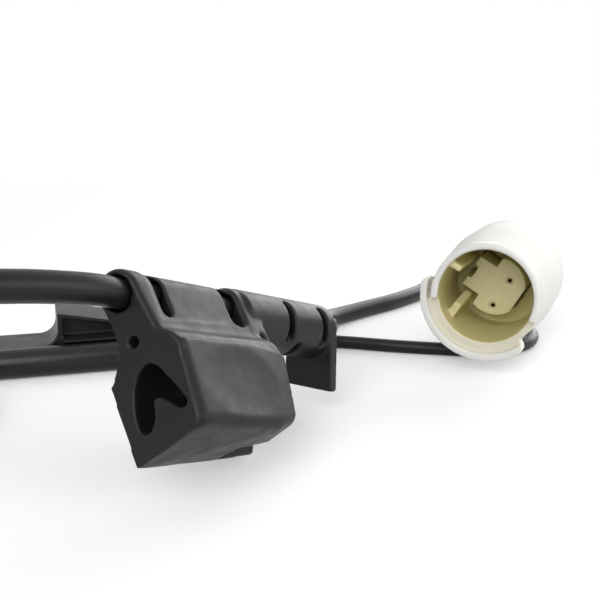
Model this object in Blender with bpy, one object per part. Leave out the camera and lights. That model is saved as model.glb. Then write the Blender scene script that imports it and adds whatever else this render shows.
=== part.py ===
"""Brake pad wear sensor: a sensing head and a round plug joined by a lead, with its holder and guide clip.

Metres, +Z up. The origin is the middle of the head's flat seating face, which lies on the table.
"""

import math

import bmesh
import bpy
from mathutils import Euler, Matrix, Vector

MM = 0.001
CLEAR = 0.3 * MM
CUT_MARGIN = 1.0 * MM
LAP = 0.2 * MM

# Leads
LEAD_DIAMETER = 3.7 * MM
SLIM_DIAMETER = 2.5 * MM
CORE_DIAMETER = 1.2 * MM
LEAD_STEP = 8.5 * MM
SLIM_STEP = 6.0 * MM
CORE_STEP = 1.5 * MM

# Coil and its tie
COIL_CENTRE = Vector((-131.8, -131.06, 0.0)) * MM
COIL_MEAN_RADIUS = 20.0 * MM
COIL_TURNS_WIDE = 3
COIL_CORNER = 1.6 * MM
TIE_THICKNESS = 0.6 * MM
TIE_WIDTH = 4.0 * MM
TIE_ANGLE = math.radians(-60.0)

# Connector: local X runs from the mouth to the back, local Z is its own top
MOUTH = Vector((-28.3, -100.3, 14.1)) * MM
CONNECTOR_HEADING = math.radians(68.0)
CONNECTOR_ROLL = math.radians(-59.2)
SOCKET_RADIUS = 8.27 * MM
MOUTH_WALL = 1.1 * MM
BARREL_RADIUS = 10.5 * MM
BARREL_TAPER_LENGTH = 14.0 * MM
HOUSING_LENGTH = 33.0 * MM
HOUSING_TAIL = 6.0 * MM
HOUSING_END_RADIUS = 9.1 * MM
SOCKET_FLOOR = 2.5 * MM
CHAMBER_RADIUS = 7.6 * MM
COLLAR_RADIUS = 11.4 * MM
COLLAR_WALL = 1.2 * MM
COLLAR_LENGTH = 6.0 * MM
COLLAR_FROM = math.radians(105.8)
COLLAR_TO = math.radians(250.5)
SLOT_RUN_OUT = math.radians(4.0)
SLOT_INTO_LEDGE = math.radians(1.0)
LEDGE_DEPTH = 1.4 * MM
LEDGE_FROM = math.radians(126.0)
LEDGE_TO = math.radians(275.5)
KEY_WIDTH = 1.1 * MM
TOP_KEY_OFFSET = 1.45 * MM
TOP_KEY_HEIGHT = 2.2 * MM
TOP_KEY_START = 1.0 * MM
SIDE_KEY_HEIGHT = 3.5 * MM
SIDE_KEY_START = 5.0 * MM
SIDE_KEY_TIP_REACH = 3.36 * MM
SIDE_KEY_REACH = 4.62 * MM
SIDE_KEY_ROOT = 1.0 * MM
SIDE_KEY_SLOPE_END = 11.0 * MM

# Contact carrier and terminals
CARRIER_RADIUS = 5.4 * MM
CARRIER_REACH = 6.5 * MM
CARRIER_NECK = 3.1 * MM
CARRIER_TOP = 5.3 * MM
CARRIER_SHOULDER = 1.7 * MM
CARRIER_FLAT = 4.7 * MM
CARRIER_NOTCH_WIDTH = 1.25 * MM
CARRIER_NOTCH_DEPTH = 0.8 * MM
CARRIER_FLANGE = 3.2 * MM
PIN_SPACING = 5.6 * MM
PIN_SHIFT = 0.6 * MM
PIN_DROP = 1.55 * MM
PIN_HOLE = 0.9 * MM
PIN_FUNNEL = 0.95 * MM
PIN_FUNNEL_DEPTH = 0.6 * MM
CARRIER_FRONT_WALL = 1.0 * MM
TERMINAL_RADIUS = 0.85 * MM
TERMINAL_LENGTH = 10.2 * MM
TERMINAL_MOUTH_DEPTH = 4.0 * MM
CRIMP_RADIUS = 0.75 * MM
CRIMP_LENGTH = 4.5 * MM
CORE_GATHER = 0.8 * MM

# Seal, rear cap and boot
SEAL_LENGTH = 5.4 * MM
SEAL_GAP = 1.3 * MM
SEAL_RIB = 0.35 * MM
SEAL_RIBS = 3
CAP_PLUG = 2.5 * MM
CAP_FLANGE = 2.0 * MM
CAP_HOLE_RADIUS = 3.6 * MM
CAP_EDGE = 0.5 * MM
BOOT_LENGTH = 13.0 * MM
BOOT_FLANGE_RADIUS = 7.0 * MM
BOOT_FLANGE = 1.5 * MM
BOOT_ROOT_RADIUS = 4.6 * MM
BOOT_TIP_RADIUS = 2.9 * MM
BOOT_RIBS = 4
BOOT_GROOVE = 0.7 * MM

# Holder: local X runs along its tube, from the block's face to the tab
HOLDER_START = Vector((-80.4, -148.3, 24.5)) * MM
HOLDER_ROLL = math.radians(-38.6)
HOLDER_PITCH = math.radians(16.1)
HOLDER_HEADING = math.radians(56.1)
HOLDER_LENGTH = 43.0 * MM
HOLDER_BLOCK_LENGTH = 21.8 * MM
NECK_RADIUS = 2.95 * MM
NECK_DROP = 5.4 * MM
NECK_PANEL_DEPTH = 0.4 * MM
NECK_PANEL_MARGIN = 2.1 * MM
NECK_PANEL_LIFT = 0.3 * MM
NECK_PANEL_TOP = 0.6 * MM
NECK_SETBACK = 0.3 * MM
TUBE_RADIUS = 4.2 * MM
TUBE_SIDE = 0.58 * MM
TUBE_DROP = 0.93 * MM
TUBE_CHAMFER = 0.9 * MM
TUBE_EDGE = 0.3 * MM
TUBE_INTO_BLOCK = 1.3 * MM
BLOCK_TOP = 8.8 * MM
BLOCK_BOTTOM = 18.5 * MM
BLOCK_RIGHT = 4.9 * MM
BLOCK_LEFT = 6.5 * MM
BLOCK_DRAFT = 0.04
BLOCK_SLANT_TOP = 1.2 * MM
BLOCK_SLANT_BOTTOM = 3.5 * MM
BLOCK_DROP_FAR = 0.9 * MM
BLOCK_IN_FAR = 1.1 * MM
WINDOW_SHARES = (0.077, 0.381, 0.695, 0.957)
WINDOW_WIDTH = 1.7 * MM
WINDOW_FLOOR = 0.9 * MM
WINDOW_RISE = 1.9 * MM
WINDOW_DROP = 3.1 * MM
TAB_THICKNESS = 1.7 * MM
FOOT_NOTCH_LENGTH = 4.5 * MM
FACE_HOLE_RADIUS = 0.55 * MM
FACE_HOLE_DEPTH = 2.0 * MM
FACE_HOLE_DROP = 6.0 * MM
FACE_HOLE_SIDE = 1.0 * MM
LEAD_OUT = 6.0 * MM
LEAD_HOLDER_STEPS = 6
DISH_WIDTH = 4.6 * MM
DISH_DEPTH = 0.6 * MM
DISH_SPREAD = 1.2
DISH_PLACE = 0.47

# Outline points chosen by hand on the holder, as (across, up) in millimetres
SNAP_LEFT_LEG = [(-5.2, -9.9), (-2.6, -9.6), (-2.3, -11.6), (-2.9, -13.2), (-2.1, -15.5), (-4.4, -16.2),
                 (-5.6, -13.0)]
SNAP_RIGHT_LEG = [(-3.2, -9.7), (-0.2, -9.7), (2.7, -15.0), (1.2, -15.7), (-1.5, -11.8), (-3.2, -11.4)]
FOOT_NOTCH = [(-6.0, -20.4), (-5.1, -16.8), (-3.4, -18.0), (-3.2, -20.4)]
END_TAB = [(-3.7, 2.3), (-8.3, -5.1), (-1.8, -11.1), (3.7, -2.3)]

# Junction sleeve
SLEEVE_START = Vector((-116.0, -103.3, 2.6)) * MM
SLEEVE_HEADING = math.radians(17.2)
SLEEVE_RADIUS = 2.6 * MM
SLEEVE_LENGTH = 36.0 * MM
SLEEVE_SOCKET = 14.0 * MM
SLEEVE_TAPER = 4.0 * MM
SLEEVE_WEB = 1.2 * MM
SLEEVE_EDGE = 0.4 * MM

# Guide clip, beside the sleeve: local X along the sleeve, local Y away from the viewer
CLIP_PLACE = 23.4 * MM
CLIP_LEFT = 9.0 * MM
CLIP_RIGHT = 9.0 * MM
CLIP_FOOT = 17.0 * MM
CLIP_DEPTH = 14.0 * MM
CLIP_HEIGHT = 10.3 * MM
CLIP_LOW_HEIGHT = 6.9 * MM
CLIP_FOOT_HEIGHT = 4.5 * MM
CLIP_FILLET = 3.0 * MM
CLIP_JAW = 1.2 * MM
CLIP_RECESS = 2.4 * MM
CLIP_JAW_TOP = 5.9 * MM
CLIP_JAW_LIFT = 0.4 * MM
CLIP_RECESS_MARGIN = 0.8 * MM
CLIP_RECESS_ROOF = 0.7 * MM

# Sensor head: local Y points from the cable to the wear tongue
HEAD_WIDTH = 13.0 * MM
HEAD_LENGTH = 18.0 * MM
HEAD_HEIGHT = 8.0 * MM
HEAD_EDGE = 0.7 * MM
HEAD_GROOVE_DEPTH = 1.3 * MM
HEAD_GROOVE_LOW = 3.0 * MM
HEAD_GROOVE_HIGH = 5.2 * MM
HEAD_GROOVE_END = 3.0 * MM
SNOUT_HEIGHT = 4.0 * MM
SNOUT_LENGTH = 8.0 * MM
SNOUT_ROOT_RADIUS = 3.4 * MM
SNOUT_TIP_RADIUS = 2.1 * MM
SNOUT_SOCKET = 7.0 * MM
TONGUE_LENGTH = 6.5 * MM
TONGUE_WIDTH = 9.6 * MM
TONGUE_TIP_WIDTH = 7.0 * MM
TONGUE_LOW = 1.0 * MM
TONGUE_HIGH = 7.0 * MM
TONGUE_SHOULDER = 2.0 * MM
TONGUE_BEVEL = 0.8 * MM
TENON_WIDTH = 4.6 * MM
TENON_HEIGHT = 4.2 * MM
TENON_LENGTH = 3.4 * MM
LOOP_WIRE = 0.9 * MM
LOOP_WIDTH = 3.2 * MM
LOOP_LENGTH = 3.4 * MM
LOOP_INSET = 0.8 * MM
SPRING_THICKNESS = 0.5 * MM
SPRING_WIDTH = 6.0 * MM
SPRING_FOOT = 1.3 * MM
SPRING_FLARE = 1.0 * MM
SPRING_TIP = 0.3 * MM

# Route points chosen by hand, in millimetres
ROUTE_TO_HOLDER = [
    (-7.4, -48.5, 13.6), (-5.5, -41.0, 12.2), (-6.7, -32.5, 9.6), (-11.5, -26.0, 6.6),
    (-18.5, -23.3, 4.1), (-24.6, -26.3, 2.6), (-28.7, -32.0, 1.95), (-32.0, -37.7, 1.85),
    (-38.5, -46.7, 1.85), (-44.9, -53.8, 1.85), (-52.4, -63.1, 2.1), (-55.1, -69.4, 3.0),
    (-55.7, -77.0, 4.3), (-54.9, -85.0, 5.6), (-53.6, -93.0, 7.2), (-52.8, -101.1, 9.2),
    (-53.1, -106.6, 10.4),
]
ROUTE_TO_COIL = [
    (-90.3, -159.4, 27.7), (-98.5, -165.4, 28.4), (-107.5, -169.3, 27.0), (-117.5, -171.0, 23.0),
    (-128.0, -170.5, 17.4), (-137.6, -167.3, 11.8), (-145.6, -161.8, 7.4), (-151.2, -155.2, 4.5),
    (-154.3, -149.2, 3.1), (-155.3, -144.8, 2.75),
]
ROUTE_FROM_COIL = [(-122.5, -105.31, 4.8), (-119.15, -104.28, 3.4)]
ROUTE_SLIM = [
    (-76.0, -91.0, 2.2), (-70.5, -87.4, 1.5), (-65.5, -83.2, 1.25), (-59.5, -80.6, 1.25),
    (-52.5, -81.2, 1.25), (-42.3, -84.3, 1.25), (-35.2, -86.0, 1.25), (-27.0, -87.4, 1.25),
    (-20.3, -86.0, 1.25), (-15.6, -82.0, 1.25), (-13.1, -75.8, 1.25), (-12.9, -69.0, 1.25),
    (-12.8, -61.0, 1.25), (-11.8, -52.5, 1.25), (-8.7, -44.5, 1.25), (-4.7, -37.0, 1.25),
    (-1.4, -29.5, 1.4), (0.0, -22.5, 2.8),
]

# Places worked out from the sizes
BARREL_LENGTH = HOUSING_LENGTH - HOUSING_TAIL
SEAL_START = HOUSING_LENGTH - CAP_PLUG - SEAL_GAP - SEAL_LENGTH
SOCKET_DEPTH = SEAL_START - CLEAR - CARRIER_FLANGE - CLEAR - SOCKET_FLOOR
CARRIER_FACE = SOCKET_DEPTH - CARRIER_REACH
CAP_START = HOUSING_LENGTH + CLEAR
BOOT_START = CAP_START + CAP_FLANGE + CLEAR
BOOT_END = BOOT_START + BOOT_LENGTH
LEAD_START = BOOT_START + 2 * CLEAR
COIL_LIFT = TIE_THICKNESS + CLEAR
COIL_HALF_WIDTH = COIL_TURNS_WIDE * LEAD_DIAMETER / 2
COIL_HEIGHT = LEAD_DIAMETER * (1 + math.sqrt(3) / 2)


def clear_scene():
    for obj in list(bpy.data.objects):
        bpy.data.objects.remove(obj, do_unlink=True)


def material(name, color, roughness, metallic=0.0):
    found = bpy.data.materials.get(name)
    if found:
        return found
    made = bpy.data.materials.new(name)
    made.use_nodes = True
    shader = made.node_tree.nodes["Principled BSDF"]
    shader.inputs["Base Color"].default_value = (*color, 1.0)
    shader.inputs["Roughness"].default_value = roughness
    shader.inputs["Metallic"].default_value = metallic
    return made


def black_plastic():
    return material("black_plastic", (0.022, 0.022, 0.024), 0.45)


def black_rubber():
    return material("black_rubber", (0.02, 0.02, 0.022), 0.6)


def lead_jacket():
    return material("lead_jacket", (0.018, 0.018, 0.02), 0.35)


def natural_nylon():
    return material("natural_nylon", (0.84, 0.83, 0.77), 0.4)


def carrier_nylon():
    return material("carrier_nylon", (0.72, 0.68, 0.5), 0.45)


def empty(name, location, rotation):
    made = bpy.data.objects.new(name, None)
    made.location = location
    made.rotation_euler = rotation
    bpy.context.scene.collection.objects.link(made)
    return made


def add_object(name, shape, finish, parent=None, sharp=35.0):
    """An object made from a bmesh, with its faces turned outwards."""
    bmesh.ops.recalc_face_normals(shape, faces=shape.faces)
    mesh = bpy.data.meshes.new(name)
    shape.to_mesh(mesh)
    shape.free()
    mesh.shade_smooth()
    mesh.set_sharp_from_angle(angle=math.radians(sharp))
    made = bpy.data.objects.new(name, mesh)
    if finish:
        mesh.materials.append(finish)
    made.parent = parent
    bpy.context.scene.collection.objects.link(made)
    return made


def helper(name, shape, parent=None):
    made = add_object(name, shape, None, parent)
    made.hide_render = True
    made.display_type = "WIRE"
    return made


def combine(target, tool, operation):
    step = target.modifiers.new(tool.name, "BOOLEAN")
    step.operation = operation
    step.solver = "EXACT"
    step.object = tool


def cut(target, name, shape):
    combine(target, helper(name, shape, target.parent), "DIFFERENCE")


def join(target, name, shape):
    combine(target, helper(name, shape, target.parent), "UNION")


def skin(rings):
    """A closed body through rings of points that all have the same count."""
    shape = bmesh.new()
    loops = [[shape.verts.new(point) for point in ring] for ring in rings]
    count = len(loops[0])
    for first, second in zip(loops, loops[1:]):
        for i in range(count):
            j = (i + 1) % count
            shape.faces.new((first[i], first[j], second[j], second[i]))
    shape.faces.new(loops[0])
    shape.faces.new(loops[-1])
    return shape


def prism_x(outline, start, end, end_outline=None):
    """A prism along X with an outline of (y, z) points."""
    far = end_outline or outline
    return skin([[(start, y, z) for y, z in outline], [(end, y, z) for y, z in far]])


def prism_y(outline, start, end):
    """A prism along Y with an outline of (x, z) points."""
    return skin([[(x, start, z) for x, z in outline], [(x, end, z) for x, z in outline]])


def box(x, y, z):
    """A box from its (low, high) pairs."""
    return prism_x([(y[0], z[0]), (y[1], z[0]), (y[1], z[1]), (y[0], z[1])], x[0], x[1])


def lathe(profile, segments=48):
    """A body turned about X from a closed loop of (x, radius) points."""
    shape = bmesh.new()
    rings = []
    for x, radius in profile:
        if radius == 0.0:
            rings.append([shape.verts.new((x, 0.0, 0.0))] * segments)
            continue
        angles = [2 * math.pi * i / segments for i in range(segments)]
        rings.append([shape.verts.new((x, radius * math.cos(a), radius * math.sin(a))) for a in angles])
    for first, second in zip(rings, rings[1:] + rings[:1]):
        for i in range(segments):
            j = (i + 1) % segments
            corners = list(dict.fromkeys((first[i], first[j], second[j], second[i])))
            if len(corners) > 2:
                shape.faces.new(corners)
    return shape


def cylinder_x(start, end, radius, segments=32):
    return lathe([(start, 0.0), (start, radius), (end, radius), (end, 0.0)], segments)


def moved(shape, matrix):
    bmesh.ops.transform(shape, matrix=matrix, verts=shape.verts)
    return shape


def polar(radius, angle):
    """A (y, z) point of the connector, by its angle as seen from the mouth, from the right-hand side."""
    return (-radius * math.cos(angle), radius * math.sin(angle))


def ring_sector(inner, outer, start, end, angle_from, angle_to, steps=32):
    angles = [angle_from + (angle_to - angle_from) * i / steps for i in range(steps + 1)]
    outline = [polar(outer, a) for a in angles] + [polar(inner, a) for a in reversed(angles)]
    return prism_x(outline, start, end)


def arc(centre, radius, angle_from, angle_to, steps):
    """Points on an arc about a centre, angles in degrees."""
    turns = [math.radians(angle_from + (angle_to - angle_from) * i / steps) for i in range(steps + 1)]
    return [(centre[0] + radius * math.cos(a), centre[1] + radius * math.sin(a)) for a in turns]


def catmull_rom(points, step):
    """A smooth curve through the points, read about every step."""
    ends = [2 * points[0] - points[1]] + points + [2 * points[-1] - points[-2]]
    found = []
    for p0, p1, p2, p3 in zip(ends, ends[1:], ends[2:], ends[3:]):
        count = max(1, round((p2 - p1).length / step))
        for i in range(count):
            t = i / count
            found.append(
                0.5 * (2 * p1 + (p2 - p0) * t + (2 * p0 - 5 * p1 + 4 * p2 - p3) * t**2
                       + (3 * p1 - p0 - 3 * p2 + p3) * t**3)
            )
    found.append(points[-1].copy())
    return found


def cord(name, points, diameter, step, finish, parent=None):
    route = catmull_rom(points, step)
    curve = bpy.data.curves.new(name, "CURVE")
    curve.dimensions = "3D"
    curve.bevel_depth = diameter / 2
    curve.bevel_resolution = 2
    curve.use_fill_caps = True
    spline = curve.splines.new("POLY")
    spline.points.add(len(route) - 1)
    for point, place in zip(spline.points, route):
        point.co = (*place, 1.0)
    curve.materials.append(finish)
    made = bpy.data.objects.new(name, curve)
    made.parent = parent
    bpy.context.scene.collection.objects.link(made)
    return made


def in_metres(points):
    return [Vector(point) * MM for point in points]


def connector_point(x):
    """A point on the connector's axis."""
    return MOUTH + Vector((math.cos(CONNECTOR_HEADING), math.sin(CONNECTOR_HEADING), 0.0)) * x


def holder_point(t):
    """A point on the axis of the holder's tube."""
    turn = Euler((HOLDER_ROLL, HOLDER_PITCH, HOLDER_HEADING)).to_matrix()
    return HOLDER_START + turn @ Vector((t, 0.0, 0.0))


def sleeve_point(s):
    """A point on the junction sleeve's axis."""
    return SLEEVE_START + Vector((math.cos(SLEEVE_HEADING), math.sin(SLEEVE_HEADING), 0.0)) * s


def natural(points):
    """Outline points given as (right, up) seen from the mouth, as local (y, z)."""
    return [(-right, up) for right, up in points]


def carrier_outline(grow=0.0):
    """The carrier's outline as (right, up): a round body with a flat, a neck and two lugs."""
    radius = CARRIER_RADIUS + grow
    neck = CARRIER_NECK + grow
    shoulder = CARRIER_SHOULDER + grow
    top = CARRIER_TOP + grow
    flat = CARRIER_FLAT + grow
    notch = CARRIER_NOTCH_WIDTH - grow
    notch_low = CARRIER_TOP - CARRIER_NOTCH_DEPTH + grow
    shoulder_angle = math.degrees(math.asin(shoulder / radius))
    flat_angle = math.degrees(math.asin(flat / radius))
    right_side = arc((0.0, 0.0), radius, -flat_angle, shoulder_angle, 10)
    left_side = arc((0.0, 0.0), radius, 180.0 - shoulder_angle, 180.0 + flat_angle, 10)
    lugs = [
        (neck, shoulder), (neck, top), (notch, top), (notch, notch_low),
        (-notch, notch_low), (-notch, top), (-neck, top), (-neck, shoulder),
    ]
    return right_side + lugs + left_side


def build_housing(frame):
    floor_back = SOCKET_DEPTH + SOCKET_FLOOR
    mouth_radius = SOCKET_RADIUS + MOUTH_WALL
    profile = [
        (0.0, SOCKET_RADIUS), (0.0, mouth_radius), (BARREL_TAPER_LENGTH, BARREL_RADIUS),
        (BARREL_LENGTH, BARREL_RADIUS), (HOUSING_LENGTH, HOUSING_END_RADIUS), (HOUSING_LENGTH, CHAMBER_RADIUS),
        (floor_back, CHAMBER_RADIUS), (floor_back, 0.0), (SOCKET_DEPTH, 0.0), (SOCKET_DEPTH, SOCKET_RADIUS),
    ]
    housing = add_object("connector_housing", lathe(profile, 72), natural_nylon(), frame)
    collar_inner = COLLAR_RADIUS - COLLAR_WALL
    join(housing, "collar", ring_sector(mouth_radius - 0.6 * MOUTH_WALL, COLLAR_RADIUS, 0.0, COLLAR_LENGTH,
                                        COLLAR_FROM, COLLAR_TO))
    cut(housing, "ledge", ring_sector(SOCKET_RADIUS - CUT_MARGIN, collar_inner, -CUT_MARGIN, LEDGE_DEPTH,
                                      LEDGE_FROM, LEDGE_TO))
    cut(housing, "collar_slot", ring_sector(mouth_radius + 0.1 * MOUTH_WALL, collar_inner, -CUT_MARGIN,
                                            COLLAR_LENGTH - LEDGE_DEPTH, COLLAR_FROM - SLOT_RUN_OUT,
                                            LEDGE_FROM + SLOT_INTO_LEDGE, 8))
    wall = SOCKET_RADIUS + 0.4 * MOUTH_WALL
    back = SOCKET_DEPTH + 0.5 * SOCKET_FLOOR
    half = KEY_WIDTH / 2
    join(housing, "top_key", box((TOP_KEY_START, back), (-TOP_KEY_OFFSET - half, -TOP_KEY_OFFSET + half),
                                 (SOCKET_RADIUS - TOP_KEY_HEIGHT, wall - LAP)))
    side = [
        (SIDE_KEY_START, wall - SIDE_KEY_ROOT), (SIDE_KEY_START, SOCKET_RADIUS - SIDE_KEY_TIP_REACH),
        (SIDE_KEY_SLOPE_END, SOCKET_RADIUS - SIDE_KEY_REACH), (back, SOCKET_RADIUS - SIDE_KEY_REACH),
        (back, wall - SIDE_KEY_ROOT),
    ]
    low = [(x, y, SIDE_KEY_HEIGHT - half) for x, y in side]
    high = [(x, y, SIDE_KEY_HEIGHT + half) for x, y in side]
    join(housing, "side_key", skin([low, high]))
    cut(housing, "carrier_seat", prism_x(natural(carrier_outline(CLEAR)), SOCKET_DEPTH - CUT_MARGIN,
                                         floor_back + CUT_MARGIN))


def pin_places():
    """The two pins' places as local (y, z)."""
    return [(PIN_SHIFT - PIN_SPACING / 2, -PIN_DROP), (PIN_SHIFT + PIN_SPACING / 2, -PIN_DROP)]


def square(centre, size):
    half = size / 2
    y, z = centre
    return [(y - half, z - half), (y + half, z - half), (y + half, z + half), (y - half, z + half)]


def build_carrier(frame):
    flange_start = SOCKET_DEPTH + SOCKET_FLOOR + CLEAR
    flange_end = flange_start + CARRIER_FLANGE
    carrier = add_object("contact_carrier", prism_x(natural(carrier_outline()), CARRIER_FACE,
                                                    flange_start + 0.5 * CARRIER_FLANGE), carrier_nylon(), frame)
    join(carrier, "carrier_flange", cylinder_x(flange_start, flange_end, CHAMBER_RADIUS - CLEAR, 48))
    pocket = TERMINAL_RADIUS + CLEAR
    for number, place in enumerate(pin_places(), 1):
        beside = Matrix.Translation((0.0, place[0], place[1]))
        pocket_shape = cylinder_x(CARRIER_FACE + CARRIER_FRONT_WALL, flange_end + CUT_MARGIN, pocket, 20)
        cut(carrier, f"terminal_pocket_{number}", moved(pocket_shape, beside))
        hole = prism_x(square(place, PIN_HOLE), CARRIER_FACE - CUT_MARGIN, CARRIER_FACE + 2 * CARRIER_FRONT_WALL)
        cut(carrier, f"pin_hole_{number}", hole)
        funnel = lathe([(CARRIER_FACE - LAP, 0.0), (CARRIER_FACE - LAP, PIN_FUNNEL),
                        (CARRIER_FACE + PIN_FUNNEL_DEPTH, 0.3 * PIN_FUNNEL), (CARRIER_FACE + PIN_FUNNEL_DEPTH, 0.0)], 24)
        cut(carrier, f"pin_funnel_{number}", moved(funnel, beside))


def build_terminals(frame):
    brass = material("terminal_brass", (0.72, 0.36, 0.18), 0.35, 1.0)
    start = CARRIER_FACE + CARRIER_FRONT_WALL + CLEAR
    end = start + TERMINAL_LENGTH
    for number, place in enumerate(pin_places(), 1):
        barrel = [
            (start, 0.0), (start, TERMINAL_RADIUS), (end, TERMINAL_RADIUS), (end, CRIMP_RADIUS),
            (end + CRIMP_LENGTH, CRIMP_RADIUS), (end + CRIMP_LENGTH, 0.0),
        ]
        beside = Matrix.Translation((0.0, place[0], place[1]))
        terminal = add_object(f"terminal_{number}", moved(lathe(barrel, 20), beside), brass, frame)
        mouth = prism_x(square(place, PIN_HOLE), start - CUT_MARGIN, start + TERMINAL_MOUTH_DEPTH)
        cut(terminal, f"terminal_mouth_{number}", mouth)


def build_cores(frame):
    copper_core = material("core_insulation", (0.35, 0.03, 0.025), 0.4)
    start = CARRIER_FACE + CARRIER_FRONT_WALL + TERMINAL_LENGTH + CRIMP_LENGTH + 2 * CLEAR
    seal_end = SEAL_START + SEAL_LENGTH
    together = CORE_DIAMETER / 2 + CLEAR / 2
    for number, (y, z) in enumerate(pin_places(), 1):
        side = math.copysign(together, y)
        points = [
            Vector((start, y, z)), Vector((seal_end, y, z)), Vector((CAP_START - CORE_GATHER, 0.5 * y, 0.4 * z)),
            Vector((CAP_START + CAP_FLANGE / 2, side, 0.0)), Vector((LEAD_START - CLEAR, side, 0.0)),
        ]
        cord(f"core_wire_{number}", points, CORE_DIAMETER, CORE_STEP, copper_core, frame)


def build_seal(frame):
    outer = CHAMBER_RADIUS - CLEAR
    end = SEAL_START + SEAL_LENGTH
    pitch = SEAL_LENGTH / SEAL_RIBS
    profile = [(SEAL_START, 0.0)]
    for rib in range(SEAL_RIBS):
        x = SEAL_START + rib * pitch
        profile += [(x, outer - SEAL_RIB), (x + 0.3 * pitch, outer), (x + 0.7 * pitch, outer)]
    profile += [(end, outer - SEAL_RIB), (end, 0.0)]
    seal = add_object("wire_seal", lathe(profile, 48), material("seal_rubber", (0.45, 0.2, 0.05), 0.6), frame)
    for number, (y, z) in enumerate(pin_places(), 1):
        hole = cylinder_x(SEAL_START - CUT_MARGIN, end + CUT_MARGIN, CRIMP_RADIUS + CLEAR, 20)
        cut(seal, f"seal_hole_{number}", moved(hole, Matrix.Translation((0.0, y, z))))


def build_cap(frame):
    plug = CHAMBER_RADIUS - CLEAR
    end = CAP_START + CAP_FLANGE
    profile = [
        (CAP_START - CAP_PLUG, CAP_HOLE_RADIUS), (CAP_START - CAP_PLUG, plug), (CAP_START, plug),
        (CAP_START, HOUSING_END_RADIUS), (end - CAP_EDGE, HOUSING_END_RADIUS),
        (end, HOUSING_END_RADIUS - CAP_EDGE), (end, CAP_HOLE_RADIUS),
    ]
    add_object("rear_cap", lathe(profile, 48), natural_nylon(), frame)


def build_boot(frame):
    bore = LEAD_DIAMETER / 2 + CLEAR
    cone_start = BOOT_START + BOOT_FLANGE
    pitch = (BOOT_END - cone_start) / BOOT_RIBS
    profile = [(BOOT_START, bore), (BOOT_START, BOOT_FLANGE_RADIUS), (cone_start, BOOT_FLANGE_RADIUS)]
    for rib in range(BOOT_RIBS):
        share = rib / BOOT_RIBS
        radius = BOOT_ROOT_RADIUS + (BOOT_TIP_RADIUS - BOOT_ROOT_RADIUS) * share
        x = cone_start + rib * pitch
        profile += [(x, radius - BOOT_GROOVE), (x + 0.3 * pitch, radius - BOOT_GROOVE),
                    (x + 0.45 * pitch, radius), (x + 0.9 * pitch, radius)]
    profile += [(BOOT_END, BOOT_TIP_RADIUS - BOOT_GROOVE / 2), (BOOT_END, bore)]
    add_object("connector_boot", lathe(profile, 40), black_rubber(), frame)


def build_connector():
    frame = empty("connector_frame", MOUTH, (CONNECTOR_ROLL, 0.0, CONNECTOR_HEADING))
    build_housing(frame)
    build_carrier(frame)
    build_terminals(frame)
    build_seal(frame)
    build_cores(frame)
    build_cap(frame)
    build_boot(frame)


def holder_profile(points):
    """Outline points given as (across, up) seen from the block's face, as local (y, z)."""
    return [(-across, up) for across, up in points]


def neck_outline():
    crown = arc((0.0, 0.0), NECK_RADIUS, 0.0, 180.0, 16)
    left = [(-NECK_RADIUS, -NECK_DROP), (-NECK_RADIUS, -BLOCK_TOP - CUT_MARGIN)]
    flare = BLOCK_RIGHT - LAP
    right = [(flare, -BLOCK_TOP - CUT_MARGIN), (flare, -BLOCK_TOP + LAP), (NECK_RADIUS, -NECK_DROP)]
    return crown + left + right


def block_rings():
    """The block's near and far corners, its far end slanted and its left side flat."""
    drop = BLOCK_BOTTOM - BLOCK_TOP
    foot = -BLOCK_LEFT - BLOCK_DRAFT * drop
    near = [(0.0, -BLOCK_LEFT, -BLOCK_TOP), (0.0, foot, -BLOCK_BOTTOM), (0.0, BLOCK_RIGHT, -BLOCK_BOTTOM),
            (0.0, BLOCK_RIGHT, -BLOCK_TOP)]
    end = HOLDER_BLOCK_LENGTH
    far = [(end, -BLOCK_LEFT, -BLOCK_TOP), (end, foot, -BLOCK_BOTTOM),
           (end - BLOCK_SLANT_BOTTOM, BLOCK_RIGHT - BLOCK_IN_FAR, -BLOCK_BOTTOM - BLOCK_DROP_FAR),
           (end - BLOCK_SLANT_TOP, BLOCK_RIGHT, -BLOCK_TOP)]
    return [[(t, -across, up) for t, across, up in ring] for ring in (near, far)]


def drawn(points):
    """Hand-chosen (across, up) millimetre points, as local (y, z) in metres."""
    return holder_profile([(across * MM, up * MM) for across, up in points])


def cut_neck_panel(holder):
    low = -NECK_DROP + NECK_PANEL_LIFT
    panel = box((NECK_PANEL_MARGIN, HOLDER_BLOCK_LENGTH - NECK_PANEL_MARGIN),
                (-NECK_RADIUS - CUT_MARGIN, NECK_PANEL_DEPTH - NECK_RADIUS), (low, NECK_PANEL_TOP))
    cut(holder, "neck_panel", panel)


def cut_dish(holder):
    """A shallow round dish in the block's lit side."""
    reach = DISH_WIDTH * DISH_SPREAD
    depth = DISH_DEPTH * 2 * DISH_SPREAD
    profile = [(depth, 0.0)]
    steps = 8
    for i in range(steps + 1):
        radius = reach * i / steps
        profile.append((DISH_DEPTH * (radius / DISH_WIDTH) ** 2, radius))
    dish = lathe(profile[1:] + [(depth, reach), profile[0]], 32)
    across = BLOCK_RIGHT - DISH_DEPTH
    middle = (DISH_PLACE * HOLDER_BLOCK_LENGTH, -across, -DISH_PLACE * (BLOCK_TOP + BLOCK_BOTTOM))
    turn = Matrix.Translation(middle) @ Matrix.Rotation(-math.pi / 2, 4, "Z")
    cut(holder, "side_dish", moved(dish, turn))


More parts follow.
